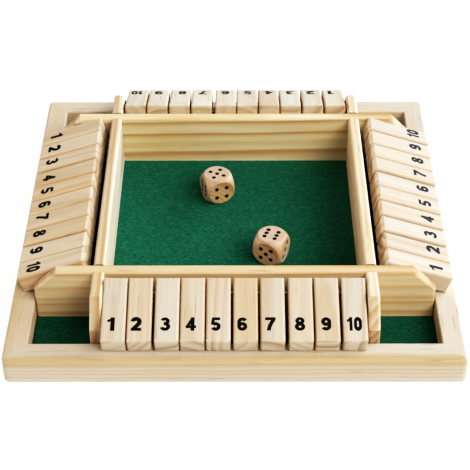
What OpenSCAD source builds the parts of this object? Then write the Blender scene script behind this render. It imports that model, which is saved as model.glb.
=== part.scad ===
// Four-player shut the box: a square tray of pine boards with a felt-lined floor. Four low walls
// cross over each other and leave a dice tray in the middle and a channel along each side. Ten
// numbered flip tiles hang on a steel rod in every channel and rest on the frame. Two wooden
// dice lie in the tray. The origin is on the table, under the middle of the board, and the
// player of the front side (-Y) looks along +Y.

/* [Frame] */
// Outside width and depth of the square frame
frame_size = 221; // [214:1:240]
// Height of the frame boards above the table
frame_h = 15.6; // [13:0.2:18]
// Width of the frame boards, seen from above
frame_t = 11.6; // [10:0.2:14]
// Rounding of the outer long edges of the frame
frame_ease = 1.8; // [0.5:0.1:2.8]
// Rounding of the inner top edge of the frame
rim_ease = 1; // [0.4:0.1:2]
// Radius of the four upright corners of the frame, larger than frame_ease
corner_r = 3; // [3:0.5:8]

/* [Base] */
// Height of the underside of the base panel above the table
panel_lift = 1.8; // [0.6:0.1:2.6]
// Thickness of the base panel
panel_t = 3; // [2:0.5:4]
// Depth of the groove in the frame that holds the base panel
groove_d = 4; // [2:0.5:6]
// Gap between the edge of the base panel and the bottom of its groove
panel_gap = 0.3; // [0.1:0.1:1]
// Thickness of the felt lining
felt_t = 1; // [0.5:0.1:1.5]
// Gap between the felt and the frame
felt_gap = 0.1; // [0:0.05:0.5]

/* [Walls] */
// Thickness of the four inner walls
wall_t = 5.8; // [5:0.1:8]
// Height of the walls above the felt
wall_h = 29; // [26:0.5:34]
// Rounding of the top and end edges of the walls, under half their thickness
wall_ease = 1.5; // [0.5:0.1:2.4]
// Size of the 45 degree corner cut at the two ends of a wall
wall_cut = 11.5; // [8:0.5:14]
// Gap between the end of a wall and the frame
wall_end_gap = 0.2; // [0.1:0.1:2]
// Side clearance where two walls cross in a halving joint
halving_gap = 0.1; // [0.05:0.05:0.3]

/* [Rods] */
// Diameter of the four steel rods
rod_d = 3; // [2:0.1:4]
// Depth of the rod axis below the top edge of the walls
rod_drop = 5.2; // [4.5:0.1:8]
// Depth of the blind holes that hold the rod ends
socket_depth = 4; // [2:0.5:4.5]
// Radial clearance of the rod in its blind holes
socket_fit = 0.03; // [0.01:0.01:0.1]
// End play of the rod in one blind hole
rod_end_gap = 0.2; // [0.1:0.1:0.5]

/* [Tiles] */
// Width of a tile along the rod
tile_w = 11.8; // [10:0.1:12.5]
// Thickness of a tile
tile_t = 10.2; // [8:0.1:12]
// Rounding of all edges of a tile
tile_ease = 1.2; // [0.4:0.1:2]
// Distance of the rod bore from the inner end of a tile
bore_inset = 5.6; // [4.5:0.1:8]
// Radial clearance of the tile on its rod
bore_fit = 0.1; // [0.05:0.01:0.1]
// Clearance between the turning inner end of a tile and the wall beside it
swing_gap = 1.6; // [1:0.1:3]
// Distance from the outside of the frame to the edge on which a tile rests
rest_inset = 6.4; // [4:0.1:8]
// Gap left under the resting edge of a tile
rest_gap = 0.2; // [0.1:0.05:0.4]
// Free play of the ten tiles of one row along their rod
row_play = 8.8; // [4:0.1:12]

/* [Dice] */
// Edge length of a die
die_size = 15.5; // [12:0.1:18]
// Radius of the ball that rounds the corners of a die, as a share of its edge length
die_ball = 0.67; // [0.62:0.01:0.7]
// Distance between neighbouring pips
pip_step = 2.8; // [2.7:0.1:3.2]
// Diameter of a pip
pip_d = 2.4; // [1:0.1:2.6]
// Depth of a pip
pip_depth = 0.3; // [0.1:0.05:0.5]
// Place of the left die in the tray
die_left_at = [-9.9, 29.7];
// Turn of the left die about the vertical
die_left_turn = 20; // [-45:1:45]
// Place of the right die in the tray
die_right_at = [18.9, -23.2];
// Turn of the right die about the vertical
die_right_turn = -23; // [-45:1:45]

/* [Hidden] */
$fn = 48;
TILES = 10;
FRONT = 0;
RIGHT = 1;
BACK = 2;
LEFT = 3;
SIDES = ["front", "right", "back", "left"];

// How the free play of each row is shared out, from the near side of tile 1 to beyond tile 10
PLAY = [
    [1, 4, 12, 3, 5, 11, 10, 16, 7, 12, 7],
    [1, 3, 18, 13, 10, 3, 16, 3, 8, 12, 1],
    [8, 8, 8, 4, 7, 4, 18, 8, 7, 5, 9],
    [9, 4, 10, 16, 6, 7, 2, 8, 14, 3, 9]
];

frame_half = frame_size / 2;
frame_inner = frame_half - frame_t;
panel_top = panel_lift + panel_t;
floor_z = panel_top + felt_t;
wall_top = floor_z + wall_h;
halving_z = floor_z + wall_h / 2;
wall_half = frame_inner - wall_end_gap;

// The inner walls stand as far apart as a row of tiles and its free play need
row_half = (TILES * tile_w + row_play) / 2;
wall_at = row_half + wall_t / 2;
rod_at = row_half + wall_t + norm([bore_inset, tile_t / 2]) + swing_gap;
rod_z = wall_top - rod_drop;
rod_len = 2 * (row_half + socket_depth - rod_end_gap);

// A tile leans from its rod down to the frame. The centre of the rounding of its resting edge
// lies rest_run outwards of the rod and rest_fall below it.
rest_run = frame_half - rest_inset - rod_at;
rest_fall = rod_z - frame_h - rest_gap - tile_ease;
edge_drop = tile_t / 2 - tile_ease;
edge_reach = sqrt(rest_run ^ 2 + rest_fall ^ 2 - edge_drop ^ 2);
tile_l = bore_inset + edge_reach + tile_ease;
tile_slope = atan2(rest_fall, rest_run) - atan2(edge_drop, edge_reach);

pip_ball = (pip_d ^ 2 / 4 + pip_depth ^ 2) / (2 * pip_depth);
PIP_SPOTS = [
    [[0, 0]],
    [[-1, -1], [1, 1]],
    [[-1, 1], [0, 0], [1, -1]],
    [[-1, -1], [-1, 1], [1, -1], [1, 1]],
    [[-1, -1], [-1, 1], [0, 0], [1, -1], [1, 1]],
    [[-1, -1], [0, -1], [1, -1], [-1, 1], [0, 1], [1, 1]]
];
// The turn that brings the top face of a die to where each number is, for 1 to 6
FACE_TURNS = [[0, 90, 0], [180, 0, 0], [-90, 0, 0], [90, 0, 0], [0, 0, 0], [0, -90, 0]];

module at_side(side) rotate([0, 0, 90 * side]) children();

// Section of a frame board, from its outer face at x = 0 to its inner face
module board_section(width, inner_r) {
    intersection() {
        union() {
            translate([frame_ease, 0]) square([width, frame_h]);
            translate([0, frame_ease]) square([width, frame_h - 2 * frame_ease]);
            for (z = [frame_ease, frame_h - frame_ease]) translate([frame_ease, z]) circle(frame_ease);
        }
        union() {
            square([width, frame_h - inner_r]);
            square([width - inner_r, frame_h]);
            if (inner_r > 0) translate([width - inner_r, frame_h - inner_r]) circle(inner_r);
        }
    }
}

// The front board: a grooved bar with a rounded end at each corner, mitred to its neighbours
module frame_board() {
    straight = frame_half - corner_r;
    color("burlywood") difference() {
        intersection() {
            union() {
                translate([0, -frame_half, 0]) rotate([90, 0, 90])
                    linear_extrude(2 * straight, center = true) board_section(frame_t, rim_ease);
                for (side = [-1, 1]) translate([side * straight, -straight, 0])
                    rotate([0, 0, side > 0 ? -90 : 180]) rotate_extrude(angle = 90)
                        mirror([1, 0]) translate([-corner_r, 0]) board_section(corner_r, 0);
            }
            linear_extrude(frame_h)
                polygon([[0, 0], [-frame_size, -frame_size], [frame_size, -frame_size]]);
        }
        translate([-frame_inner - groove_d, -frame_inner - groove_d, panel_lift])
            cube([2 * (frame_inner + groove_d), groove_d + frame_t, panel_t]);
    }
}

module base_panel() {
    half = frame_inner + groove_d - panel_gap;
    color("tan") translate([-half, -half, panel_lift]) cube([2 * half, 2 * half, panel_t]);
}

module felt_lining() {
    half = frame_inner - felt_gap;
    color("seagreen") translate([-half, -half, panel_top]) cube([2 * half, 2 * half, felt_t]);
}

// A long slab as thick as a wall, whose rounded edge faces the direction that leans by angle
// from straight up, at a given distance from the origin
module eased_slab(angle, distance) {
    depth = 2 * frame_size;
    flat = wall_t - 2 * wall_ease;
    rotate([0, angle, 0]) translate([0, 0, distance]) rotate([90, 0, 90])
        linear_extrude(depth, center = true) {
            translate([-wall_t / 2, -depth]) square([wall_t, depth - wall_ease]);
            translate([-flat / 2, -depth]) square([flat, depth]);
            for (s = [-1, 1]) translate([s * flat / 2, -wall_ease]) circle(wall_ease);
        }
}

// One wall along X with its inner face towards +Y. A wall that passes over its neighbours is
// notched from below where they cross, and one that passes under is notched from above.
module wall(over) {
    notch_w = wall_t + 2 * halving_gap;
    cut_distance = (wall_half + wall_top - wall_cut) / sqrt(2);
    color("khaki") difference() {
        intersection() {
            translate([-frame_half, -wall_t, floor_z]) cube([frame_size, 2 * wall_t, wall_h]);
            eased_slab(0, wall_top);
            eased_slab(-45, cut_distance);
            eased_slab(45, cut_distance);
            eased_slab(-90, wall_half);
            eased_slab(90, wall_half);
        }
        for (s = [-1, 1]) {
            translate([s * wall_at - notch_w / 2, -wall_t, over ? floor_z - 1 : halving_z])
                cube([notch_w, 2 * wall_t, over ? halving_z - floor_z + 1 : wall_h]);
            translate([s * rod_at, wall_t / 2 - socket_depth, rod_z]) rotate([-90, 0, 0])
                cylinder(h = wall_t, r = rod_d / 2 + socket_fit);
        }
    }
}

module rod() {
    color("silver") translate([0, -rod_at, rod_z]) rotate([0, 90, 0])
        cylinder(h = rod_len, d = rod_d, center = true);
}

// Rounded rectangle around the origin, for one of the three outlines of a tile
module eased_outline(width, height, r) {
    square([width, height - 2 * r], center = true);
    square([width - 2 * r, height], center = true);
    for (x = [-1, 1], y = [-1, 1]) translate([x * (width / 2 - r), y * (height / 2 - r)]) circle(r);
}

// A block with all its edges rounded, cut by its three outlines
module eased_block(x, y, z, r) {
    intersection() {
        linear_extrude(z, center = true) eased_outline(x, y, r);
        rotate([90, 0, 0]) linear_extrude(y, center = true) eased_outline(x, z, r);
        rotate([90, 0, 90]) linear_extrude(x, center = true) eased_outline(y, z, r);
    }
}

// One tile, drawn about its rod with its outer end towards -Y
module tile() {
    color("wheat") difference() {
        translate([0, bore_inset - tile_l / 2, 0]) eased_block(tile_w, tile_l, tile_t, tile_ease);
        rotate([0, 90, 0]) cylinder(h = 2 * tile_w, r = rod_d / 2 + bore_fit, center = true);
    }
}

// Sum of the first count entries of a list
function sum_to(list, count) = count == 0 ? 0 : list[count - 1] + sum_to(list, count - 1);

// Middle of a tile along its rod: the tiles before it, and its share of the play
function tile_x(side, number) =
    (number - 0.5) * tile_w - row_half
    + row_play * sum_to(PLAY[side], number) / sum_to(PLAY[side], TILES + 1);

module placed_tile(side, number) {
    at_side(side) translate([tile_x(side, number), -rod_at, rod_z]) rotate([tile_slope, 0, 0]) tile();
}

// A die with 5 on top and 4 in front: a cube rounded by a ball, with hollow pips
module die() {
    color("peru") difference() {
        intersection() {
            cube(die_size, center = true);
            sphere(die_ball * die_size);
        }
        for (number = [1:6], spot = PIP_SPOTS[number - 1])
            rotate(FACE_TURNS[number - 1])
                translate([spot.x * pip_step, spot.y * pip_step, die_size / 2 + pip_ball - pip_depth])
                    sphere(pip_ball, $fn = 24);
    }
}

module placed_die(at, turn) {
    translate([at.x, at.y, floor_z + die_size / 2]) rotate([0, 0, turn]) children();
}

base_panel();
felt_lining();
for (side = [FRONT:LEFT]) {
    at_side(side) frame_board();
    at_side(side) translate([0, -wall_at, 0]) wall(over = side == FRONT || side == BACK);
    at_side(side) rod();
    for (number = [1:TILES])
        placed_tile(side, number);
}
placed_die(die_left_at, die_left_turn) die();  // die_left
placed_die(die_right_at, die_right_turn) rotate([90, 90, 0]) die();  // die_right
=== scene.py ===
# %% [markdown]
# # Four-player shut the box in pine
#
# The real object is a square tray of pale pine boards, lined with dark green felt. Four low walls
# cross each other and leave a dice tray in the middle, a channel along each side and a pocket in
# each corner. Ten numbered tiles hang on a steel rod in every channel, and two wooden dice lie in
# the tray. The woodwork comes from the CAD frame at its real size, so this script dresses it: wood
# that shows its growth rings, felt, steel, printed numbers and painted pips.

import math
import random

import bmesh
import bpy
from mathutils import Euler, Matrix, Vector, noise


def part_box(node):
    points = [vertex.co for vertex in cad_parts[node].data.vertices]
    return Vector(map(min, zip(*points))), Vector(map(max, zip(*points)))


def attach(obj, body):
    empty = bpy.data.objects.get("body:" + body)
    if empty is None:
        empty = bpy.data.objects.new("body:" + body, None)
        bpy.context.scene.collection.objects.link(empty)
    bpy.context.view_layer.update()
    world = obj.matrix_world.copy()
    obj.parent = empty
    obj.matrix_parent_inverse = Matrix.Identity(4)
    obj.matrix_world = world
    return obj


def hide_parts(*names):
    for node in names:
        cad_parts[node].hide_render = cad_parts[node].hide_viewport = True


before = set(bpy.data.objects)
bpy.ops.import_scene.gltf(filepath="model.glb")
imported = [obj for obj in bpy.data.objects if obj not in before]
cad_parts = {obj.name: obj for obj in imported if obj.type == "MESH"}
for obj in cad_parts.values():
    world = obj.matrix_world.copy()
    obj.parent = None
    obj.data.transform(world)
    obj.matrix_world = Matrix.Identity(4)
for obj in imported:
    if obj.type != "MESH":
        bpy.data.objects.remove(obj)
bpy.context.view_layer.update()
MM = 0.001
SIDES = ("front", "right", "back", "left")
TILES = range(1, 11)

# %% [markdown]
# ## Camera
#
# The picture was taken with a long lens from in front and above, almost on the middle line of the
# board. Its place and turn are real sizes in metres and degrees, found by matching the corners of
# the frame and of the walls. A camera looks along its own -Z, so it is first tipped up from
# looking straight down, then turned about the vertical, and rolled about its own axis last.

# %% Camera at the picture's angle
CAMERA_AT = Vector((1.5, -579.8, 468.9)) * MM
CAMERA_DOWN = 38.84
CAMERA_TURN = 0.156
CAMERA_ROLL = -0.154
LENS = 105.74
SENSOR = 36

camera_data = bpy.data.cameras.new("camera")
camera_data.sensor_width = SENSOR
camera_data.lens = LENS
camera = bpy.data.objects.new("camera", camera_data)
bpy.context.collection.objects.link(camera)
camera.matrix_world = (
    Matrix.Translation(CAMERA_AT)
    @ Matrix.Rotation(math.radians(CAMERA_TURN), 4, "Z")
    @ Matrix.Rotation(math.radians(90 - CAMERA_DOWN), 4, "X")
    @ Matrix.Rotation(math.radians(CAMERA_ROLL), 4, "Z")
)
bpy.context.scene.camera = camera

# The picture has deep, warm shades and soft highlights, as a camera's tone curve gives them.
WHITE_LEVEL = 1.2
TONE_CURVE = ((0.03, 0.010), (0.08, 0.040), (0.15, 0.096), (0.26, 0.205), (0.40, 0.375), (0.60, 0.59),
              (0.80, 0.775), (1.00, 0.925))
view = bpy.context.scene.view_settings
view.view_transform = "Standard"
view.use_curve_mapping = True
view.curve_mapping.white_level = (WHITE_LEVEL,) * 3
for light, shown in TONE_CURVE:
    view.curve_mapping.curves[3].points.new(light / WHITE_LEVEL, shown)
view.curve_mapping.update()
print("camera at", tuple(round(v, 3) for v in CAMERA_AT))

# %% [markdown]
# ## Node helpers
#
# A shader is a graph, and a graph is easier to read when each node is one line. `add` makes a node
# and fills its inputs: a value is set on the socket, and another node's output is linked to it.

# %% Helpers that build a shader
def new_material(name):
    material = bpy.data.materials.new(name)
    material.use_nodes = True
    material.node_tree.nodes.clear()
    return material


def add(tree, kind, inputs=None, **settings):
    node = tree.nodes.new("ShaderNode" + kind)
    for key, value in settings.items():
        setattr(node, key, value)
    for key, value in (inputs or {}).items():
        if isinstance(value, bpy.types.NodeSocket):
            tree.links.new(value, node.inputs[key])
        else:
            node.inputs[key].default_value = value
    return node


# A Mix node has sockets for numbers, vectors and colours; these are its factor and its colours
MIX_FACTOR, MIX_FIRST, MIX_SECOND, MIX_RESULT = 0, 6, 7, 2


def blend(tree, factor, first, second, mode="MIX"):
    """Mixes two colours; each argument is a value or a socket."""
    node = add(tree, "Mix", data_type="RGBA", blend_type=mode)
    for slot, value in ((MIX_FACTOR, factor), (MIX_FIRST, first), (MIX_SECOND, second)):
        if isinstance(value, bpy.types.NodeSocket):
            tree.links.new(value, node.inputs[slot])
        elif slot == MIX_FACTOR:
            node.inputs[slot].default_value = value
        else:
            node.inputs[slot].default_value = (*value, 1)
    return node.outputs[MIX_RESULT]


def ramp(tree, factor, stops):
    """A colour ramp of grey values: stops are (place, grey) pairs."""
    node = add(tree, "ValToRGB", {"Fac": factor})
    while len(node.color_ramp.elements) < len(stops):
        node.color_ramp.elements.new(0.5)
    for element, (place, grey) in zip(node.color_ramp.elements, stops):
        element.position = place
        element.color = (grey, grey, grey, 1)
    return node.outputs["Color"]


def calc(tree, operation, *values):
    node = add(tree, "Math", operation=operation)
    for socket, value in zip(node.inputs, values):
        if isinstance(value, bpy.types.NodeSocket):
            tree.links.new(value, socket)
        else:
            socket.default_value = value
    return node.outputs[0]


# %% [markdown]
# ## Wood
#
# Wood looks right from every side only when the pattern goes through the whole board, as the real
# rings do. A tree's rings are tubes round its pith, so the shader measures how far a point lies
# from a pith line beside the board. A colour ramp over that distance holds the rings, each with its
# own place, darkness and width, and it rises slowly and drops at once, as late wood does. On a face
# along the grain the tubes show as stripes and arches, and on an end face as curved rings. A slow
# noise bends the tubes, a fine one draws the fibres, and a sparse one leaves short dark flecks. The
# sides, which lie in shade between tiles and beside the pockets, get a warm painted shade. The
# pattern is laid in the board's own directions: X along the grain, Y across towards the middle of
# the tray or the next tile, Z up.

# %% Rings of a board
MOST_RINGS = 9


def growth(draw, pith, reach, pitch):
    """Rings that cross a board: distances from the pith in mm, with a darkness and a width."""
    rings = []
    distance = math.hypot(*pith) - reach + draw.uniform(0, 1) * pitch
    while distance < math.hypot(*pith) + reach and len(rings) < MOST_RINGS:
        rings.append((distance, draw.uniform(0.45, 1.0), pitch * draw.uniform(0.35, 0.75)))
        distance += pitch * draw.uniform(0.7, 1.35)
    return rings


def seen_rings(pith, face, lines):
    """Rings given by the heights in mm at which they cross one face of the board."""
    return sorted((math.hypot(face - pith[0], height - pith[1]), dark, width)
                  for height, dark, width in lines)


# %% Rings as stops of a colour ramp
MOST_STOPS = 32  # as many as a colour ramp holds
STOP_GAP = 0.002


def ring_stops(rings, near, far):
    """Ramp stops for the rings: a slow rise, a peak and a sharp drop for each. A ring that is
    already dark where the last one drops runs into it."""
    stops = []
    for distance, dark, width in rings:
        shape = [((distance + step * width - near) / (far - near), grey) for step, grey in (
            (-1.1, 0.02), (-0.4, 0.6 * dark), (-0.1, dark), (0.12, dark), (0.4, 0.03))]
        if stops and shape[1][0] < stops[-1][0]:
            stops.pop()
        stops += [stop for stop in shape if not stops or stop[0] > stops[-1][0] + STOP_GAP]
    return stops[:MOST_STOPS]


# %% [markdown]
# A noise looks the same in all directions until its coordinates are stretched. Scaled little along
# the grain and a lot across it, its blobs become long bends, streaks or fibres. The slowest noise
# moves each point across the grain before its distance from the pith is measured, and that bends
# the rings.

# %% Way from the pith
BEND_SCALE = (14, 60, 60)
BEND_WIDTH = 4 * MM


def stretched(tree, vector, scale):
    return add(tree, "Mapping", {"Vector": vector, "Scale": scale}).outputs[0]


def way_from_pith(tree, local, spot, pith, bend, lean):
    """The place of a point as seen from the pith, once the wood is bent."""
    bends = add(tree, "TexNoise", {
        "Vector": stretched(tree, spot, BEND_SCALE), "Scale": 1, "Detail": 2, "Roughness": 0.45,
    })
    offset = add(tree, "VectorMath", {0: bends.outputs["Color"], 1: (0.5, 0.5, 0.5)},
                 operation="SUBTRACT").outputs[0]
    offset = add(tree, "VectorMath", {0: offset, 1: (0, bend * BEND_WIDTH, bend * BEND_WIDTH)},
                 operation="MULTIPLY").outputs[0]
    bent = add(tree, "VectorMath", {0: local, 1: offset}, operation="ADD").outputs[0]
    return add(tree, "Mapping", {
        "Vector": bent,
        "Location": (0, -pith[0] * MM, -pith[1] * MM),
        "Rotation": (0, math.radians(lean[1]), math.radians(lean[0])),
    }).outputs[0]


# %% Late wood
WAVE_PITCH = 2 * math.pi / 20  # how far apart a wave texture's rings lie at a scale of 1
RING_MARGIN = 6


def late_wood(tree, from_pith, rings, fine):
    """How dark the rings are at a point: the drawn ones, or faint fine ones between them."""
    crosswise = add(tree, "VectorMath", {0: from_pith, 1: (0, 1, 1)}, operation="MULTIPLY").outputs[0]
    distance = add(tree, "VectorMath", {0: crosswise}, operation="LENGTH").outputs["Value"]
    near, far = rings[0][0] - RING_MARGIN, rings[-1][0] + RING_MARGIN
    along_ramp = add(tree, "MapRange", {
        "Value": distance, "From Min": near * MM, "From Max": far * MM,
    }).outputs[0]
    drawn = ramp(tree, along_ramp, ring_stops(rings, near, far))
    pitch, strength = fine
    faint = add(tree, "TexWave", {
        "Vector": from_pith, "Scale": WAVE_PITCH / (pitch * MM), "Distortion": 1.0, "Detail": 2,
        "Detail Scale": 0.4, "Detail Roughness": 0.5,
    }, wave_type="RINGS", rings_direction="X", wave_profile="SAW").outputs["Fac"]
    return calc(tree, "MAXIMUM", drawn, calc(tree, "MULTIPLY", faint, strength))


# %% Fibres, stains and flecks
FIBRE_SCALE = (35, 1500, 1500)
STAIN_SCALE = (14, 110, 110)
FLECK_SCALE = (60, 850, 850)


def marks(tree, spot):
    """The fibres as a grey value, and where the warm stains and the dark flecks lie."""
    fibres = add(tree, "TexNoise", {
        "Vector": stretched(tree, spot, FIBRE_SCALE), "Scale": 1, "Detail": 3, "Roughness": 0.6,
    }).outputs["Fac"]
    stains = add(tree, "TexNoise", {
        "Vector": stretched(tree, spot, STAIN_SCALE), "Scale": 1, "Detail": 3, "Roughness": 0.55,
    }).outputs["Fac"]
    flecks = add(tree, "TexNoise", {
        "Vector": stretched(tree, spot, FLECK_SCALE), "Scale": 1, "Detail": 1,
    }).outputs["Fac"]
    return (fibres, ramp(tree, stains, ((0.40, 0), (0.68, 1))),
            ramp(tree, flecks, ((0.66, 0), (0.76, 0.7))))


# %% Faces that look a given way
def facing(tree, normal, way):
    return add(tree, "VectorMath", {0: normal, 1: way}, operation="DOT_PRODUCT").outputs["Value"]


def on_ends(tree, normal, turn, strength):
    """How much of the end grain shows: on faces that look along the grain."""
    straight = calc(tree, "ABSOLUTE", facing(tree, normal, turn.col[0]))
    mask = add(tree, "MapRange", {
        "Value": straight, "From Min": 0.5, "From Max": 0.85,
    }, interpolation_type="SMOOTHSTEP").outputs[0]
    return calc(tree, "MULTIPLY", mask, strength)


def on_sides(tree, normal, turn, strength, inner):
    """How much of the warm painted shade shows: on the sides, or only on the one facing the middle."""
    sideways = facing(tree, normal, turn.col[1])
    if not inner:
        sideways = calc(tree, "ABSOLUTE", sideways)
    return add(tree, "MapRange", {
        "Value": sideways, "From Min": 0.35, "From Max": 0.9, "To Max": strength,
    }).outputs[0]


# %% [markdown]
# The colour is built in layers, from the broadest to the finest: early wood with warm stains, the
# rings over it, flecks, the end grain in its own tones, a warm painted shade on the sides, and last
# the fibres, which darken everything a little. The rings and fibres also lift the surface by
# hundredths of a millimetre, which breaks up the highlights.

# %% The wood shader
FLECK = (0.43, 0.31, 0.18)
END_RING = (0.60, 0.45, 0.31)
# Painted shade: a warm dark tone multiplied onto the sides of boards, tiles and dice
SIDE_SHADE_WARMTH = (0.82, 0.60, 0.39)
STAIN_SHARE = 0.55
SPOT_SPREAD = 13


def wood(name, place, turn, pith, rings, tones, contrast, bend, lean=(0, 0), fibre=0.10,
         fine=(2.2, 0.2), end=0.75, rough=0.5, side_shade=0, inner=False):
    """place and turn put the pattern on a board; pith and ring sizes are in mm; tones are early
    wood, late wood, a warm stain and end grain; lean tips the pith line out of the board's length;
    fine is the pitch and strength of faint rings between the drawn ones; side_shade paints a warm
    shade on the sides, or with inner only on the one that faces the middle."""
    early, late, stain, end_tone = tones
    material = new_material(name)
    tree = material.node_tree
    coords = add(tree, "TexCoord")
    normal = coords.outputs["Normal"]
    local = add(tree, "Mapping", {
        "Vector": coords.outputs["Object"],
        "Location": place,
        "Rotation": turn.to_euler(),
    }, vector_type="TEXTURE").outputs[0]
    # Every board reads the noises at a spot of its own, so no two have the same marks
    spot = add(tree, "VectorMath", {0: local, 1: tuple(SPOT_SPREAD * place)}, operation="ADD").outputs[0]
    dark = late_wood(tree, way_from_pith(tree, local, spot, pith, bend, lean), rings, fine)
    fibres, stain_mask, fleck_mask = marks(tree, spot)
    # Colour
    colour = blend(tree, calc(tree, "MULTIPLY", stain_mask, STAIN_SHARE), early, stain)
    colour = blend(tree, calc(tree, "MULTIPLY", dark, contrast), colour, late)
    colour = blend(tree, fleck_mask, colour, FLECK)
    end_late = tuple(tone * share for tone, share in zip(end_tone, END_RING))
    ends = blend(tree, calc(tree, "MULTIPLY", dark, min(1, contrast * 2)), end_tone, end_late)
    colour = blend(tree, on_ends(tree, normal, turn, end), colour, ends)
    # Painted shade: the sides are warmed and darkened
    if side_shade:
        colour = blend(tree, on_sides(tree, normal, turn, side_shade, inner), colour, SIDE_SHADE_WARMTH, "MULTIPLY")
    streaks = ramp(tree, fibres, ((0.3, 1 - fibre), (0.7, 1)))
    colour = blend(tree, 1.0, colour, streaks, "MULTIPLY")
    # Surface
    height = calc(tree, "ADD", calc(tree, "MULTIPLY", dark, 0.35), fibres)
    bump = add(tree, "Bump", {"Height": height, "Strength": 0.25, "Distance": 0.06 * MM})
    roughness = add(tree, "MapRange", {
        "Value": fibres, "To Min": rough - 0.06, "To Max": rough + 0.1,
    }).outputs[0]
    surface = add(tree, "BsdfPrincipled", {
        "Base Color": colour, "Roughness": roughness, "Normal": bump.outputs[0],
    })
    surface.inputs["Specular IOR Level"].default_value = 0.35
    add(tree, "OutputMaterial", {"Surface": surface.outputs[0]})
    return material


# %% Helpers that place a pattern on a board
def dress(node_name, material):
    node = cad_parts[node_name]
    node.data.materials.clear()
    node.data.materials.append(material)


def basis(along, up):
    """A turn whose X lies along the grain and whose Z points up from the board."""
    along = Vector(along).normalized()
    up = Vector(up).normalized()
    return Matrix((along, up.cross(along), up)).transposed()


def middle(node_name):
    low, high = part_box(node_name)
    return (Vector(low) + Vector(high)) / 2


# %% [markdown]
# ## Frame boards and walls
#
# The frame is pale, sanded pine with a cream top. Its front board shows a golden band under the top
# edge and thin wavy lines below. The walls come from another board: yellower, with straight brown
# stripes. The stripes are given by the heights at which they cross one face of the board, and a
# height beyond the edge stands for a ring that comes out on the top. Each board gets its own pith,
# because no two boards are cut from the same place in a tree.

# %% Frame boards
SIDE_ALONG = {"front": (1, 0, 0), "right": (0, 1, 0), "back": (-1, 0, 0), "left": (0, -1, 0)}
FRAME_LATE = (0.58, 0.43, 0.24)
FRAME_END = (0.45, 0.32, 0.19)
FRAME_TONES = {
    "front": ((0.62, 0.555, 0.465), (0.52, 0.365, 0.175), (0.60, 0.47, 0.32), FRAME_END),
    "right": ((0.64, 0.56, 0.46), FRAME_LATE, (0.64, 0.54, 0.41), FRAME_END),
    "back": ((0.64, 0.56, 0.44), FRAME_LATE, (0.62, 0.52, 0.38), FRAME_END),
    "left": ((0.64, 0.54, 0.41), FRAME_LATE, (0.58, 0.41, 0.23), FRAME_END),
}
# In mm across and up from a board's middle: the face whose stripes are listed, and the pith
FRAME_FACE = -5.8
FRAME_PITH = {"front": (-40, -96), "right": (14, -52), "back": (10, -60), "left": (16, -44)}
# Stripes as (height on that face, darkness, width)
FRAME_LINES = {
    "front": [(7.6, 1.0, 3.9), (4.6, 0.9, 3.8), (0.9, 0.7, 1.6), (-1.3, 0.65, 2.0), (-4.0, 0.5, 1.6)],
    "right": [(5.0, 0.35, 2.0), (1.5, 0.25, 1.5), (-2.5, 0.3, 2.0), (-6.0, 0.25, 1.5)],
    "back": [(6.0, 0.25, 2.0), (2.0, 0.3, 1.6), (-1.5, 0.25, 1.5), (-5.0, 0.3, 2.0)],
    "left": [(6.6, 0.45, 2.4), (3.4, 0.3, 1.6), (0.2, 0.35, 1.6), (-3.1, 0.3, 1.6), (-6.0, 0.3, 1.4)],
}
for side in SIDES:
    pith = FRAME_PITH[side]
    board = wood(f"frame_pine_{side}", middle(f"frame_{side}"), basis(SIDE_ALONG[side], (0, 0, 1)), pith,
                 seen_rings(pith, FRAME_FACE, FRAME_LINES[side]), FRAME_TONES[side], contrast=0.85,
                 bend=0.55, lean=(0.3, 0.25), fine=(1.3, 0.2), side_shade=0.3, inner=True)
    dress(f"frame_{side}", board)
print("frame boards dressed")

# %% Walls
WALL_LATE = (0.50, 0.265, 0.075)
WALL_EARLY = {"front": (0.67, 0.555, 0.375), "right": (0.80, 0.70, 0.53), "back": (0.79, 0.67, 0.45),
              "left": (0.76, 0.73, 0.63)}
WALL_STAIN = (0.68, 0.46, 0.19)
WALL_END = (0.50, 0.335, 0.195)
WALL_PITH = {"front": (24, -118), "right": (-44, -40), "back": (-30, -104), "left": (-60, 12)}
WALL_FACE = {"front": -2.9, "right": 2.9, "back": 2.9, "left": -2.9}
WALL_LINES = {
    "front": [(12.6, 0.75, 2.2), (8.6, 0.25, 2.0), (4.2, 0.6, 4.0), (-2.4, 0.5, 3.4), (-5.8, 0.6, 2.6),
              (-11.8, 0.85, 3.6)],
    "right": [(11.5, 0.35, 2.0), (7.0, 0.6, 2.6), (1.5, 0.6, 2.8), (-4.0, 0.7, 3.0), (-9.5, 0.7, 2.8)],
    "back": [(11.9, 0.9, 2.6), (4.2, 1.0, 2.4), (-2.0, 0.35, 5.0), (-8.4, 1.0, 5.5)],
    "left": [(-7.4, 0.85, 3.4), (-15.8, 0.35, 1.4), (-21.1, 0.5, 2.0)],
}
WALL_LEAN = {"front": (0.2, 0.35), "right": (0.4, 0.3), "back": (0.3, -1.0), "left": (-0.7, -0.4)}
for side in SIDES:
    pith = WALL_PITH[side]
    board = wood(f"wall_pine_{side}", middle(f"wall_{side}"), basis(SIDE_ALONG[side], (0, 0, 1)), pith,
                 seen_rings(pith, WALL_FACE[side], WALL_LINES[side]),
                 (WALL_EARLY[side], WALL_LATE, WALL_STAIN, WALL_END), contrast=0.85, bend=0.6,
                 lean=WALL_LEAN[side], fine=(1.4, 0.14), end=0.9)
    dress(f"wall_{side}", board)
print("walls dressed")

# %% [markdown]
# ## Tiles
#
# The forty tiles are small blocks of pale pine. Each lies on the frame at the same slope, so its
# directions are measured from the CAD mesh: the largest upward triangle gives the slope, and the
# side of the board gives the way out. Pith, ring width and tint differ from tile to tile, so that
# the end faces show the different arcs that the real ones do. The random numbers are seeded, so
# every run gives the same wood.

# %% Directions of each tile
SIDE_OUT = {"front": (0, -1, 0), "right": (1, 0, 0), "back": (0, 1, 0), "left": (-1, 0, 0)}


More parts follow.
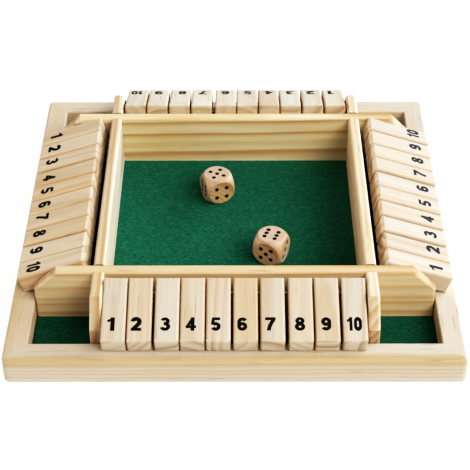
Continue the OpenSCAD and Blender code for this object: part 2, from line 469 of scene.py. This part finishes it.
def tile_basis(node_name, side):
    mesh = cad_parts[node_name].data
    upward = [p for p in mesh.polygons if p.normal.z > 0.5]
    up = max(upward, key=lambda p: p.area).normal.copy()
    out = Vector(SIDE_OUT[side])
    return basis(out - up * out.dot(up), up)


# %% Wood of the tiles
# Each row's early wood is set for the light it gets: the right row, turned to the lamps, is painted
# darker, and the left row, turned from them, paler and warmer
TILE_EARLY_AND_PAINTED_LIGHT = {"front": (0.635, 0.575, 0.48), "right": (0.575, 0.49, 0.385), "back": (0.72, 0.65, 0.53),
              "left": (0.72, 0.61, 0.465)}
TILE_LATE = (0.50, 0.31, 0.14)
TILE_STAIN = (0.63, 0.50, 0.345)
# End grain tones; the right row's is near white: painted light on its inner ends, which face away from
# the lamps
TILE_END_AND_PAINTED_LIGHT = {"front": (0.64, 0.54, 0.42), "right": (1.0, 0.84, 0.64), "back": (0.58, 0.45, 0.30),
            "left": (0.58, 0.46, 0.32)}
# How much painted shade the sides of each row of tiles get
TILE_SIDE_SHADE = {"front": 0.8, "right": 0.3, "back": 0.7, "left": 0.6}
WARM_SHARES = (0, 0.55, 1)  # what warmth takes off red, green and blue
WARM_TILES = {("front", 1): 0.02, ("front", 2): 0.07, ("front", 6): 0.14, ("front", 9): 0.05,
              ("left", 5): 0.08, ("left", 8): 0.06}
QUIET_TILES = {("back", 6): 0.4}
TILE_SEED = 7
TILE_REACH = 9
tile_turns = {}
draw = random.Random(TILE_SEED)
for side in SIDES:
    for number in TILES:
        name = f"tile_{side}_{number}"
        turn = tile_basis(name, side)
        tile_turns[name] = turn
        bearing = draw.uniform(0, 2 * math.pi)
        reach = draw.uniform(10, 30)
        pith = (reach * math.cos(bearing), reach * math.sin(bearing))
        rings = growth(draw, pith, TILE_REACH, draw.uniform(4.2, 8.0))
        warm = WARM_TILES.get((side, number), draw.uniform(-0.02, 0.04))
        pale = draw.uniform(0.95, 1.04)
        early = tuple(pale * tone - share * warm for tone, share in zip(TILE_EARLY_AND_PAINTED_LIGHT[side], WARM_SHARES))
        block = wood(f"tile_pine_{side}_{number}", middle(name), turn, pith, rings,
                     (early, TILE_LATE, TILE_STAIN, TILE_END_AND_PAINTED_LIGHT[side]),
                     contrast=draw.uniform(0.3, 0.6) * QUIET_TILES.get((side, number), 1), bend=0.5,
                     lean=(draw.uniform(-3, 3), draw.uniform(-3, 3)),
                     fine=(draw.uniform(1.2, 1.8), 0.12), end=0.85, side_shade=TILE_SIDE_SHADE[side])
        dress(name, block)
print("tiles dressed", len(tile_turns))

# %% [markdown]
# ## Base panel, rods and dice
#
# The base is thin plywood, seen only from below. The rods are dull drawn steel wire, and fine scuffs
# spread the light on them. Their colour is painted dark and brownish: painted shade from the gaps
# they lie in and painted reflection of the wood. The dice are a harder wood, sanded and waxed, with
# browner end grain on two of their faces.

# %% Base panel
PLY_TONES = ((0.60, 0.46, 0.28), (0.46, 0.31, 0.16), (0.62, 0.46, 0.26), (0.50, 0.36, 0.2))
PLY_PITH = (30, -240)
PLY_SEED, PLY_REACH, PLY_PITCH = 3, 14, 4
ply_rings = growth(random.Random(PLY_SEED), PLY_PITH, PLY_REACH, PLY_PITCH)
dress("base_panel", wood("plywood", middle("base_panel"), basis((1, 0, 0), (0, 0, 1)), PLY_PITH,
                         ply_rings, PLY_TONES, contrast=0.7, bend=4, lean=(1.5, 1), rough=0.6))
print("base panel dressed")

# %% Steel rods
# Painted shade and painted reflection: the steel is coloured dark and brownish, as the black gaps and the
# wood round it make it look
STEEL_SHADED_DULL = (0.20, 0.18, 0.16)
STEEL_SHADED_BRIGHT = (0.32, 0.30, 0.28)


def drawn_steel():
    material = new_material("drawn_steel")
    tree = material.node_tree
    coords = add(tree, "TexCoord").outputs["Object"]
    scuffs = add(tree, "TexNoise", {"Vector": coords, "Scale": 2600, "Detail": 3})
    roughness = add(tree, "MapRange", {
        "Value": scuffs.outputs["Fac"], "To Min": 0.32, "To Max": 0.52,
    }).outputs[0]
    colour = blend(tree, scuffs.outputs["Fac"], STEEL_SHADED_DULL, STEEL_SHADED_BRIGHT)
    bump = add(tree, "Bump", {
        "Height": scuffs.outputs["Fac"], "Strength": 0.2, "Distance": 0.02 * MM,
    })
    surface = add(tree, "BsdfPrincipled", {
        "Base Color": colour, "Metallic": 1.0, "Roughness": roughness, "Normal": bump.outputs[0],
    })
    add(tree, "OutputMaterial", {"Surface": surface.outputs[0]})
    return material


steel = drawn_steel()
for side in SIDES:
    dress(f"rod_{side}", steel)
print("rods dressed")

# %% Dice
DIE_TONES = ((0.61, 0.49, 0.385), (0.46, 0.29, 0.16), (0.62, 0.40, 0.23))
DIE_END = {"die_left": (0.52, 0.35, 0.165), "die_right": (0.58, 0.35, 0.20)}
DIE_PITH = (11, -14)
DIE_SEED, DIE_REACH, DIE_PITCH = 5, 12, 2.4
# Degrees about the vertical
DIE_TURN = {"die_left": 20, "die_right": -23}
for name, degrees in DIE_TURN.items():
    spin = Matrix.Rotation(math.radians(degrees), 3, "Z")
    turn = basis(spin @ Vector((0, 1, 0)), (0, 0, 1))
    die_rings = growth(random.Random(DIE_SEED), DIE_PITH, DIE_REACH, DIE_PITCH)
    dress(name, wood(f"{name}_wood", middle(name), turn, DIE_PITH, die_rings,
                     (*DIE_TONES, DIE_END[name]), contrast=0.35, bend=0.3, fibre=0.08,
                     fine=(0.9, 0.15), end=0.9, rough=0.38, side_shade=0.3))
print("dice dressed")

# %% [markdown]
# ## Felt lining
#
# The floor of the tray and of the pockets is one sheet of dark green felt, glued down. Felt has no
# weave: it is a mat of short fibres, so its colour is mottled at the scale of a millimetre, with
# loose fibres lying across it. The sheet is a fine grid, closed below, whose top dips by up to a
# tenth of a millimetre.

# %% The felt sheet
FELT_STEP = 2 * MM
FELT_DIP = 0.10 * MM
FELT_WAVES = 90


def felt_sheet():
    low, high = (Vector(corner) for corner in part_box("felt_lining"))
    width, length = high.x - low.x, high.y - low.y
    bm = bmesh.new()
    # A grid of size 0.5 is 1 wide, so it scales to the width and length of the sheet
    bmesh.ops.create_grid(bm, x_segments=round(width / FELT_STEP), y_segments=round(length / FELT_STEP),
                          size=0.5)
    bmesh.ops.scale(bm, vec=(width, length, 1), verts=bm.verts)
    pulled = bmesh.ops.extrude_face_region(bm, geom=bm.faces[:])["geom"]
    lifted = [v for v in pulled if isinstance(v, bmesh.types.BMVert)]
    bmesh.ops.translate(bm, vec=(0, 0, high.z - low.z), verts=lifted)
    for vert in lifted:
        dip = 0.5 + 0.5 * noise.noise(Vector((vert.co.x, vert.co.y, 0)) * FELT_WAVES)
        vert.co.z -= FELT_DIP * dip
    bmesh.ops.translate(bm, vec=(0, 0, low.z), verts=bm.verts)
    bmesh.ops.recalc_face_normals(bm, faces=bm.faces)
    mesh = bpy.data.meshes.new("felt")
    bm.to_mesh(mesh)
    bm.free()
    mesh.shade_smooth()
    piece = bpy.data.objects.new("felt", mesh)
    bpy.context.collection.objects.link(piece)
    return piece, (width, length)


# %% The felt's colour and pile
PILE_DEEP = (0.007, 0.066, 0.037)
PILE_PALE = (0.020, 0.170, 0.100)
PILE_CLUMP = (0.009, 0.095, 0.052)
LINT = (0.042, 0.205, 0.138)
LINT_TURNS = (35, -50)
LINT_SCALE = (400, 1800, 1800)
# Painted shade for the felt outside the walls
PAINTED_POCKET_SHADE = (0.62, 0.62, 0.62)


def felt_fibres():
    material = new_material("felt_green")
    tree = material.node_tree
    coords = add(tree, "TexCoord").outputs["Object"]
    mottle = add(tree, "TexNoise", {"Vector": coords, "Scale": 1000, "Detail": 4, "Roughness": 0.6})
    clumps = add(tree, "TexNoise", {"Vector": coords, "Scale": 60, "Detail": 4, "Roughness": 0.6})
    nap = add(tree, "TexNoise", {"Vector": coords, "Scale": 2400, "Detail": 2, "Distortion": 1.5})
    colour = blend(tree, ramp(tree, mottle.outputs["Fac"], ((0.35, 0), (0.68, 1))),
                   PILE_DEEP, PILE_PALE)
    colour = blend(tree, ramp(tree, clumps.outputs["Fac"], ((0.38, 0), (0.66, 0.6))), colour, PILE_CLUMP)
    # Loose lighter fibres lie across each other in short streaks
    for turn in LINT_TURNS:
        across = add(tree, "Mapping", {
            "Vector": coords, "Rotation": (0, 0, math.radians(turn)), "Scale": LINT_SCALE,
        }).outputs[0]
        lint = add(tree, "TexNoise", {"Vector": across, "Scale": 1, "Detail": 1}).outputs["Fac"]
        colour = blend(tree, ramp(tree, lint, ((0.56, 0), (0.76, 0.7))), colour, LINT)
    # Painted shade: the felt outside the walls, in the channels and pockets, is darkened
    place = add(tree, "SeparateXYZ", {"Vector": coords})
    aside = calc(tree, "MAXIMUM", calc(tree, "ABSOLUTE", place.outputs["X"]),
                 calc(tree, "ABSOLUTE", place.outputs["Y"]))
    colour = blend(tree, calc(tree, "GREATER_THAN", aside, abs(middle("wall_left").x)), colour,
                   PAINTED_POCKET_SHADE, "MULTIPLY")
    height = calc(tree, "ADD", mottle.outputs["Fac"], calc(tree, "MULTIPLY", nap.outputs["Fac"], 0.6))
    bump = add(tree, "Bump", {"Height": height, "Strength": 0.6, "Distance": 0.3 * MM})
    surface = add(tree, "BsdfPrincipled", {
        "Base Color": colour, "Roughness": 0.95, "Sheen Weight": 0.08, "Sheen Roughness": 0.5,
        "Sheen Tint": (0.1, 0.5, 0.3, 1), "Normal": bump.outputs[0],
    })
    surface.inputs["Specular IOR Level"].default_value = 0.05
    add(tree, "OutputMaterial", {"Surface": surface.outputs[0]})
    return material


# %% Lay the felt on the base panel
felt, felt_size = felt_sheet()
felt.data.materials.append(felt_fibres())
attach(felt, "board")
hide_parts("felt_lining")
print("felt", [round(size / MM, 1) for size in felt_size], "mm")

# %% [markdown]
# ## Numbers
#
# The numbers are printed in a heavy plain style. Each stroke is drawn as a pen would: an edge as
# long as the stroke is wide is pulled along a line, or spun round a centre for a bend. Overlapping
# strokes are then joined, so every number is one thin closed skin of ink. Sizes are in units of the
# number's own height, with the origin at its lower left.

# %% A pen made of an edge
ARC_STEP = 9
STROKE_WELD = 1e-4


def draw_stroke(width, start, heading, moves):
    """One stroke as a closed flat slab. A move is ("line", length) or ("bend", radius, degrees),
    with positive degrees to the left."""
    bm = bmesh.new()
    at = Vector((*start, 0))
    way = Vector((math.cos(math.radians(heading)), math.sin(math.radians(heading)), 0))
    across = Vector((-way.y, way.x, 0))
    ends = [bm.verts.new(at + across * width / 2), bm.verts.new(at - across * width / 2)]
    nib = bm.edges.new(ends)
    for kind, *values in moves:
        if kind == "line":
            pulled = bmesh.ops.extrude_edge_only(bm, edges=[nib])["geom"]
            verts = [g for g in pulled if isinstance(g, bmesh.types.BMVert)]
            bmesh.ops.translate(bm, vec=way * values[0], verts=verts)
            at = at + way * values[0]
            nib = next(g for g in pulled if isinstance(g, bmesh.types.BMEdge)
                       and all(v in verts for v in g.verts))
        else:
            radius, degrees = values
            angle = math.radians(degrees)
            centre = at + across * math.copysign(radius, degrees)
            spun = bmesh.ops.spin(bm, geom=[nib, *nib.verts], cent=centre, axis=(0, 0, 1), angle=angle,
                                  steps=max(2, round(abs(degrees) / ARC_STEP)), use_duplicate=False)
            nib = next(g for g in spun["geom_last"] if isinstance(g, bmesh.types.BMEdge))
            turn = Matrix.Rotation(angle, 3, "Z")
            at = centre + turn @ (at - centre)
            way, across = turn @ way, turn @ across
    bmesh.ops.remove_doubles(bm, verts=bm.verts, dist=STROKE_WELD)
    lifted = bmesh.ops.extrude_face_region(bm, geom=bm.faces[:])["geom"]
    bmesh.ops.translate(bm, vec=(0, 0, 1), verts=[g for g in lifted if isinstance(g, bmesh.types.BMVert)])
    bmesh.ops.recalc_face_normals(bm, faces=bm.faces)
    mesh = bpy.data.meshes.new("stroke")
    bm.to_mesh(mesh)
    bm.free()
    return mesh


# %% The strokes of each digit
PEN = 0.285
DIGITS = {
    "0": [(PEN, (0.1225, 0.35), 90, [("line", 0.30), ("bend", 0.2275, -180), ("line", 0.30),
                                    ("bend", 0.2275, -180)])],
    "1": [(0.275, (0.35, 1.0), -90, [("line", 1.0)]),
          (0.17, (0.0, 0.73), 8, [("bend", 0.48, 42)])],
    "2": [(PEN, (0.1245, 0.698), 82, [("bend", 0.2225, -212), ("line", 0.55)]),
          (0.215, (0.02, 0.1075), 0, [("line", 0.67)])],
    "3": [(0.225, (0.169, 0.773), 70, [("bend", 0.17, -250), ("line", 0.07)]),
          (0.225, (0.26, 0.5225), 0, [("line", 0.07), ("bend", 0.205, -255)])],
    "4": [(0.25, (0.4475, 1.0), -90, [("line", 1.0)]),
          (0.195, (0.0, 0.30), 0, [("line", 0.68)]),
          (0.19, (0.085, 0.29), 60, [("line", 0.72)])],
    "5": [(0.21, (0.12, 0.895), 0, [("line", 0.50)]),
          (0.20, (0.185, 0.96), -98, [("line", 0.52)]),
          (0.24, (0.173, 0.4535), 50, [("bend", 0.2045, -295)])],
    "6": [(0.24, (0.345, 0.5275), 0, [("bend", 0.2045, -360)]),
          (0.24, (0.1405, 0.325), 90, [("line", 0.33), ("bend", 0.2175, -152)])],
    "7": [(0.215, (0.0, 0.8925), 0, [("line", 0.68)]),
          (0.25, (0.585, 0.87), -128, [("bend", 1.8, 30)])],
    "8": [(0.205, (0.345, 0.905), 0, [("bend", 0.165, -360)]),
          (0.225, (0.345, 0.49), 0, [("bend", 0.19, -360)])],
}
DIGIT_STRETCH = {"3": 1.1, "8": 1.12}
SIX_WIDTH = 0.69

# %% Join the strokes of a digit
STROKE_LIFT = 0.001


def join_strokes(strokes):
    """All strokes as one closed mesh, each made an object and joined to the first. Each lies a
    little higher than the last, because faces in one plane don't join cleanly."""
    objects = []
    for index, stroke in enumerate(strokes):
        mesh = draw_stroke(*stroke)
        mesh.transform(Matrix.Translation((0, 0, STROKE_LIFT * index)))
        objects.append(bpy.data.objects.new("stroke", mesh))
        bpy.context.collection.objects.link(objects[-1])
    body = objects[0]
    for other in objects[1:]:
        union = body.modifiers.new("union", "BOOLEAN")
        union.operation = "UNION"
        union.solver = "EXACT"
        union.object = other
    graph = bpy.context.evaluated_depsgraph_get()
    mesh = bpy.data.meshes.new_from_object(body.evaluated_get(graph))
    for item in objects:
        bpy.data.objects.remove(item)
    return mesh


glyphs = {}
for digit, strokes in DIGITS.items():
    glyphs[digit] = join_strokes(strokes)
    glyphs[digit].transform(Matrix.Diagonal((DIGIT_STRETCH.get(digit, 1), 1, 1, 1)))
glyphs["9"] = glyphs["6"].copy()
glyphs["9"].transform(Matrix.Translation((SIX_WIDTH, 1, 0)) @ Matrix.Rotation(math.pi, 4, "Z"))
print("digits drawn", {digit: len(mesh.polygons) for digit, mesh in glyphs.items()})

# %% Where the numbers go
# The ink reaches a little into the wood and stands a little proud of it
INK_SINK = 0.02 * MM
INK_PROUD = 0.03 * MM
NUMBER_HEIGHT = 7.2 * MM
# In mm: how far a number's middle lies from its tile's outer end, and off the tile's middle line
NUMBER_IN = {"front": 9.3, "right": 9.0, "back": 7.2, "left": 8.7}
NUMBER_SHIFT = {
    "front": (-1.1, -1.4, -0.7, -0.6, -1.2, -1.6, -1.1, -0.6, -0.7, -0.4),
    "right": (-1.2, 1.3, -0.2, -0.4, 0.0, 0.7, 0.6, 0.8, 0.7, 0.7),
    "back": (0.8, 0.1, -0.5, -0.4, -0.5, 0.4, -0.2, -0.9, 0.3, 0.6),
    "left": (-0.2, 0.0, -0.5, 0.9, 0.0, -0.4, -1.5, -0.7, -0.4, 0.5),
}

# %% The shape of a number
TEN_SQUEEZE = 0.7
TEN_GAP = 0.17


def number_mesh(number):
    """The number with its middle at x = 0 and its foot at y = 0, one unit high."""
    bm = bmesh.new()
    if number < 10:
        bm.from_mesh(glyphs[str(number)])
    else:
        bm.from_mesh(glyphs["1"])
        right = max(v.co.x for v in bm.verts)
        moved = glyphs["0"].copy()
        moved.transform(Matrix.Translation((right + TEN_GAP, 0, 0)))
        bm.from_mesh(moved)
        bmesh.ops.scale(bm, vec=(TEN_SQUEEZE, 1, 1), verts=bm.verts)
    centre = (min(v.co.x for v in bm.verts) + max(v.co.x for v in bm.verts)) / 2
    bmesh.ops.translate(bm, vec=(-centre, 0, 0), verts=bm.verts)
    return bm


# %% Black ink
INK_BLACK = (0.002, 0.002, 0.002)
INK_WORN = (0.006, 0.005, 0.005)


def printing_ink():
    material = new_material("black_ink")
    tree = material.node_tree
    coords = add(tree, "TexCoord").outputs["Object"]
    wear = add(tree, "TexNoise", {"Vector": coords, "Scale": 1500, "Detail": 3})
    colour = blend(tree, wear.outputs["Fac"], INK_BLACK, INK_WORN)
    roughness = add(tree, "MapRange", {
        "Value": wear.outputs["Fac"], "To Min": 0.42, "To Max": 0.62,
    }).outputs[0]
    surface = add(tree, "BsdfPrincipled", {"Base Color": colour, "Roughness": roughness})
    surface.inputs["Specular IOR Level"].default_value = 0.15
    add(tree, "OutputMaterial", {"Surface": surface.outputs[0]})
    return material


ink = printing_ink()

# %% Print the numbers
for side in SIDES:
    for number in TILES:
        name = f"tile_{side}_{number}"
        turn = tile_turns[name]
        along, across, up = turn.col
        corners = [v.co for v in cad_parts[name].data.vertices]
        end = max(c.dot(along) for c in corners)
        face = max(c.dot(up) for c in corners)
        line = middle(name).dot(across) + NUMBER_SHIFT[side][number - 1] * MM
        down = end - NUMBER_IN[side] * MM + NUMBER_HEIGHT / 2
        foot = along * down + across * line + up * (face - INK_SINK)
        bm = number_mesh(number)
        bmesh.ops.scale(bm, vec=(NUMBER_HEIGHT, NUMBER_HEIGHT, INK_SINK + INK_PROUD), verts=bm.verts)
        page = Matrix((across, -along, up)).transposed().to_4x4()
        bm.transform(Matrix.Translation(foot) @ page)
        mesh = bpy.data.meshes.new(f"number_{side}_{number}")
        bm.to_mesh(mesh)
        bm.free()
        mesh.materials.append(ink)
        printed = bpy.data.objects.new(mesh.name, mesh)
        bpy.context.collection.objects.link(printed)
        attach(printed, name)
print("numbers printed on", len(tile_turns), "tiles")

# %% [markdown]
# ## Pips
#
# A pip is a drop of black paint in a shallow round hollow. It is a profile spun about the pip's
# own axis: a slightly dished top just under the face of the die, and a round underside that fills
# the hollow.

# %% The shape of a pip
PIP_RADIUS = 1.22 * MM
PIP_RIM = 0.02 * MM
PIP_DISH = 0.12 * MM
PIP_DEEP = 0.36 * MM
PIP_SIDES = 20
PIP_WELD = 1e-7


def pip():
    """A pip in a face of the die that lies at z = 0."""
    bm = bmesh.new()
    points = [(0, -PIP_DISH), (0.6 * PIP_RADIUS, -0.6 * PIP_DISH), (PIP_RADIUS, -PIP_RIM),
              (0.75 * PIP_RADIUS, -0.6 * PIP_DEEP), (0, -PIP_DEEP)]
    verts = [bm.verts.new((x, 0, z)) for x, z in points]
    edges = [bm.edges.new(pair) for pair in zip(verts, verts[1:])]
    bmesh.ops.spin(bm, geom=verts + edges, cent=(0, 0, 0), axis=(0, 0, 1), angle=2 * math.pi,
                   steps=PIP_SIDES, use_merge=True, use_duplicate=False)
    bmesh.ops.remove_doubles(bm, verts=bm.verts, dist=PIP_WELD)
    bmesh.ops.recalc_face_normals(bm, faces=bm.faces)
    mesh = bpy.data.meshes.new("pip")
    bm.to_mesh(mesh)
    bm.free()
    return mesh


# %% Paint the pips on the dice
PIP_STEP = 2.8 * MM
PIP_SPOTS = {
    1: [(0, 0)],
    2: [(-1, -1), (1, 1)],
    3: [(-1, 1), (0, 0), (1, -1)],
    4: [(-1, -1), (-1, 1), (1, -1), (1, 1)],
    5: [(-1, -1), (-1, 1), (0, 0), (1, -1), (1, 1)],
    6: [(-1, -1), (0, -1), (1, -1), (-1, 1), (0, 1), (1, 1)],
}
# Turns that bring the top face to the face with each value, and that roll each die as it lies
FACE_TURNS = {1: (0, 90, 0), 2: (180, 0, 0), 3: (-90, 0, 0), 4: (90, 0, 0), 5: (0, 0, 0), 6: (0, -90, 0)}
DIE_STANDS = {"die_left": (0, 0, 0), "die_right": (90, 90, 0)}


def degrees_matrix(angles):
    return Euler([math.radians(a) for a in angles]).to_matrix().to_4x4()


one_pip = pip()
for name, stand in DIE_STANDS.items():
    low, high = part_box(name)
    half = (high[2] - low[2]) / 2
    pose = (Matrix.Translation(middle(name))
            @ Matrix.Rotation(math.radians(DIE_TURN[name]), 4, "Z") @ degrees_matrix(stand))
    bm = bmesh.new()
    for value, spots in PIP_SPOTS.items():
        for x, y in spots:
            drop = one_pip.copy()
            drop.transform(pose @ degrees_matrix(FACE_TURNS[value])
                           @ Matrix.Translation((x * PIP_STEP, y * PIP_STEP, half)))
            bm.from_mesh(drop)
    mesh = bpy.data.meshes.new(f"{name}_pips")
    bm.to_mesh(mesh)
    bm.free()
    mesh.shade_smooth()
    mesh.materials.append(ink)
    pips = bpy.data.objects.new(mesh.name, mesh)
    bpy.context.collection.objects.link(pips)
    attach(pips, name)
print("pips painted")

# %% [markdown]
# ## Floor and light
#
# The picture is a studio shot on white paper. A large soft lamp stands in front on the right and a
# cooler one, like a window, behind it, so faces that look right are bright and the left pocket lies
# in shade. A weak lamp in front, a low reflector on the left and a faint surround fill the shades.

# %% Floor
FLOOR_HALF = 6
PAPER_GLOW = 1.12
floor_mesh = bpy.data.meshes.new("floor")
bm = bmesh.new()
bmesh.ops.create_grid(bm, x_segments=1, y_segments=1, size=FLOOR_HALF)
bm.to_mesh(floor_mesh)
bm.free()
floor = bpy.data.objects.new("floor", floor_mesh)
bpy.context.collection.objects.link(floor)
paper = new_material("white_paper")
paper_surface = add(paper.node_tree, "BsdfPrincipled", {
    "Base Color": (0.06, 0.06, 0.06, 1), "Roughness": 0.9,
    "Emission Color": (1, 1, 1, 1), "Emission Strength": PAPER_GLOW,
})
add(paper.node_tree, "OutputMaterial", {"Surface": paper_surface.outputs[0]})
floor_mesh.materials.append(paper)
print("floor", 2 * FLOOR_HALF, "m wide")

# %% Lights
def soft_light(name, at, width, height, power, colour):
    lamp = bpy.data.lights.new(name, "AREA")
    lamp.shape = "RECTANGLE"
    lamp.size = width
    lamp.size_y = height
    lamp.energy = power
    lamp.color = colour
    holder = bpy.data.objects.new(name, lamp)
    bpy.context.collection.objects.link(holder)
    holder.location = at
    holder.rotation_euler = (-Vector(at)).to_track_quat("-Z", "Y").to_euler()
    return holder


soft_light("lamp", (1.217, -0.852, 1.338), 2.0, 1.0, 50, (0.99, 0.99, 0.96))
soft_light("window", (1.461, 1.142, 0.749), 1.8, 0.9, 45, (0.84, 1, 1.24))
soft_light("front", (0.25, -1.42, 1.36), 1.4, 1.0, 8, (1.02, 1, 0.95))
soft_light("reflector", (-1.911, 0.15, 0.484), 1.6, 0.7, 20, (1.12, 1, 0.92))
SURROUND_TINT = (1, 0.95, 0.88, 1)
SURROUND_GLOW = 0.2
world = bpy.data.worlds.new("surround")
bpy.context.scene.world = world
world.use_nodes = True
world.node_tree.nodes["Background"].inputs["Color"].default_value = SURROUND_TINT
world.node_tree.nodes["Background"].inputs["Strength"].default_value = SURROUND_GLOW
print("lights set")
